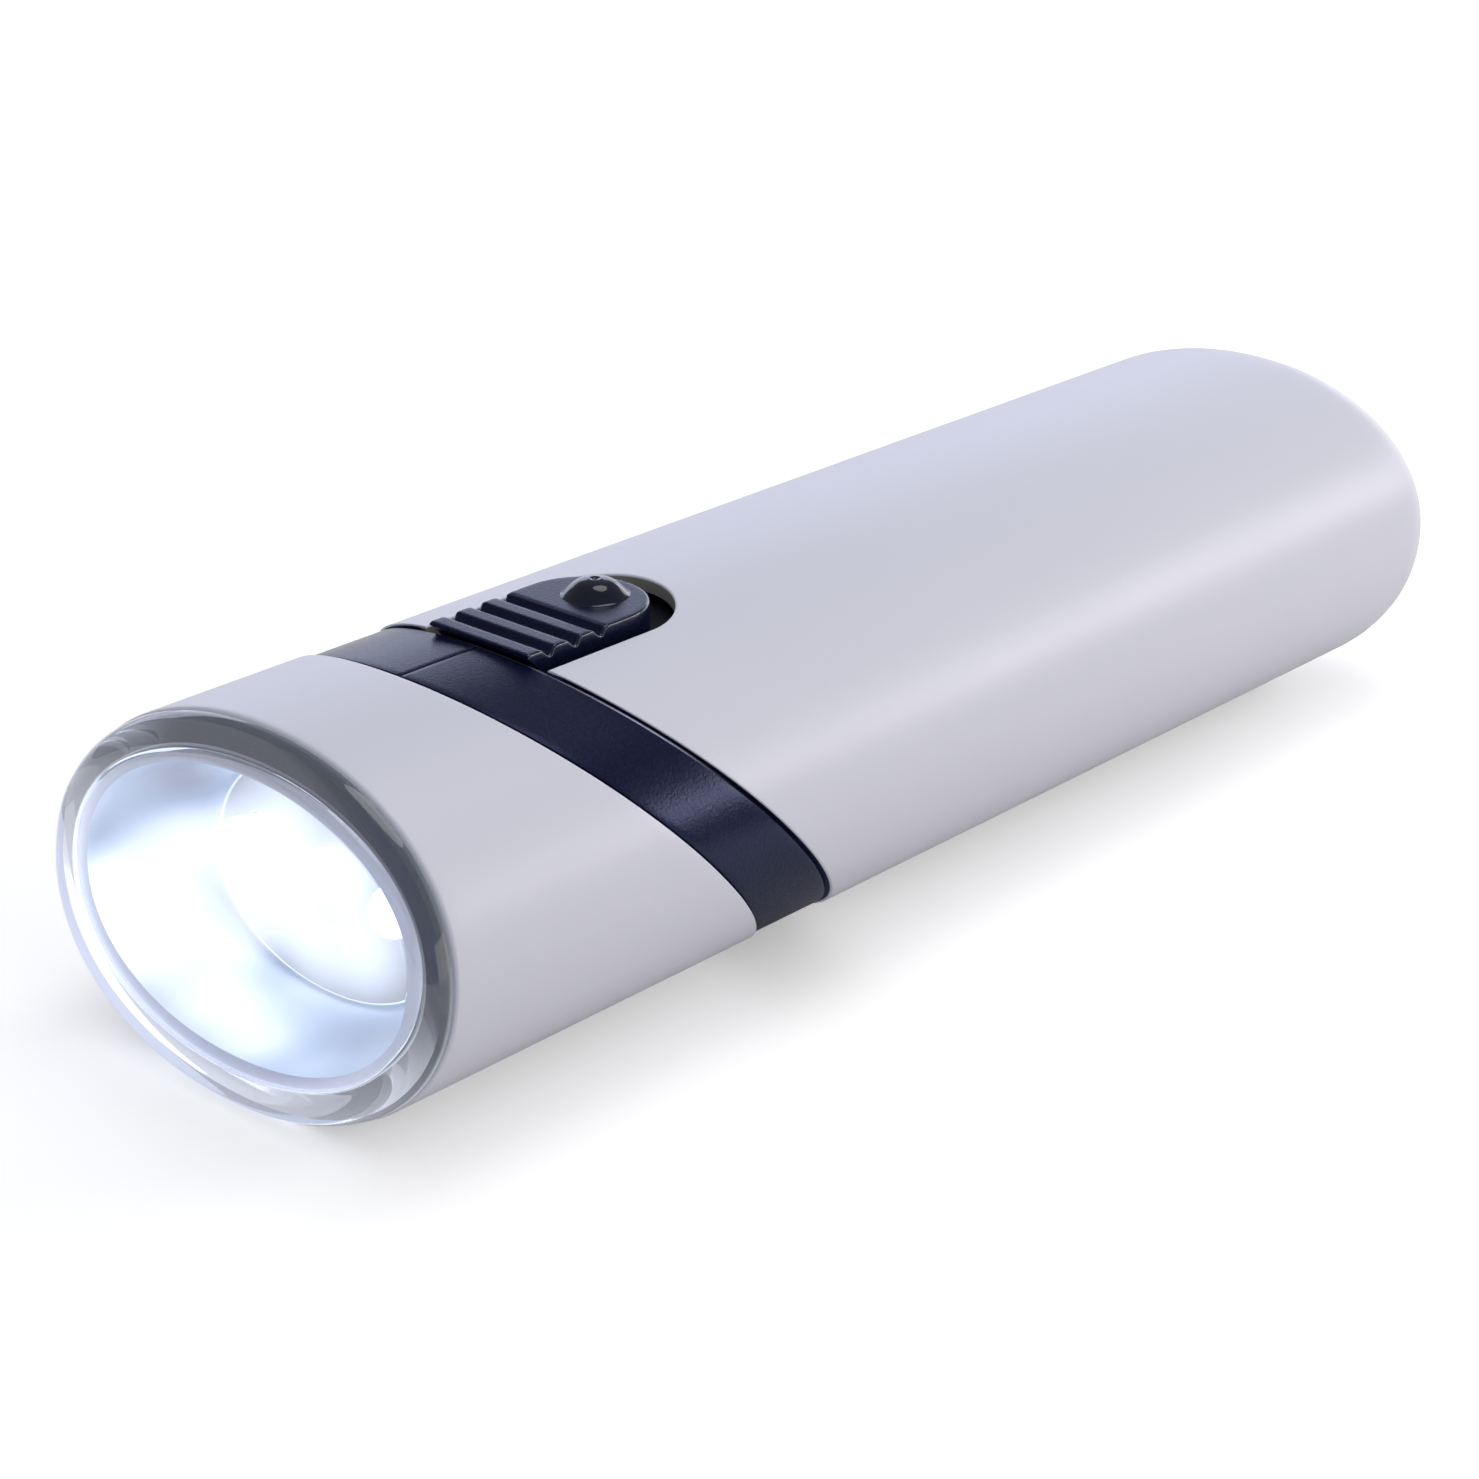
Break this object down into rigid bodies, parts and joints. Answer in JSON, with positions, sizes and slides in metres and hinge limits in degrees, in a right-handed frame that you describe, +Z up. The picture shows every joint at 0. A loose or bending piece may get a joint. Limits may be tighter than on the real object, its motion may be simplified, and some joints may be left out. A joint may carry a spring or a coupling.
{
  "type": "battery flashlight",
  "caption": "Flat-oval hand torch with a clear slanted front, a dark diagonal band, a thumb slide on top and a rear shell that slides off.",
  "frame": {"origin": "bottom centre of the whole torch's box, on the surface that the torch lies on", "axes": "+Y from the lamp to the tail, +Z up through the thumb slide, +X to the torch's left as its user points it away"},
  "size_m": [0.052, 0.162, 0.0366],
  "materials": {
    "silver_shell": "satin",
    "dark_chassis": "satin",
    "dark_slide": "satin",
    "clear_lens": "gloss",
    "chromed_reflector": "polished",
    "board_laminate": "satin",
    "led_resin": "gloss",
    "resistor_coat": "matte",
    "screw_steel": "satin",
    "carriage_plastic": "satin",
    "contact_brass": "satin",
    "spring_steel": "satin",
    "cell_jacket": "satin"
  },
  "bodies": {
    "torch_body": {"head_sleeve": "silver_shell", "lens_cap": "clear_lens", "reflector": "chromed_reflector", "chassis_left": "dark_chassis", "chassis_right": "dark_chassis", "lamp_board": "board_laminate", "led_1": "led_resin", "led_2": "led_resin", "led_3": "led_resin", "resistor": "resistor_coat", "board_screw_1": "screw_steel", "board_screw_2": "screw_steel", "chassis_screw_1": "screw_steel", "chassis_screw_2": "screw_steel", "chassis_screw_3": "screw_steel", "detent_spring": "spring_steel", "positive_contact": "contact_brass", "lamp_contact": "contact_brass", "long_contact_strip": "contact_brass", "tail_spring": "spring_steel", "grip_spring_left": "spring_steel", "grip_spring_right": "spring_steel", "cell_front": "cell_jacket", "cell_rear": "cell_jacket"},
    "thumb_slide": {"slider_button": "dark_slide", "switch_carriage": "carriage_plastic", "contact_bridge": "contact_brass"},
    "shell": {"rear_shell": "silver_shell"}
  },
  "joints": [
    {"name": "switch_slide", "type": "slide", "parent": "torch_body", "child": "thumb_slide", "axis": [0, 1, 0], "range_m": [0, 0.0025]},
    {"name": "shell_slide", "type": "slide", "parent": "torch_body", "child": "shell", "axis": [0, 1, 0], "range_m": [0, 0.13]}
  ]
}
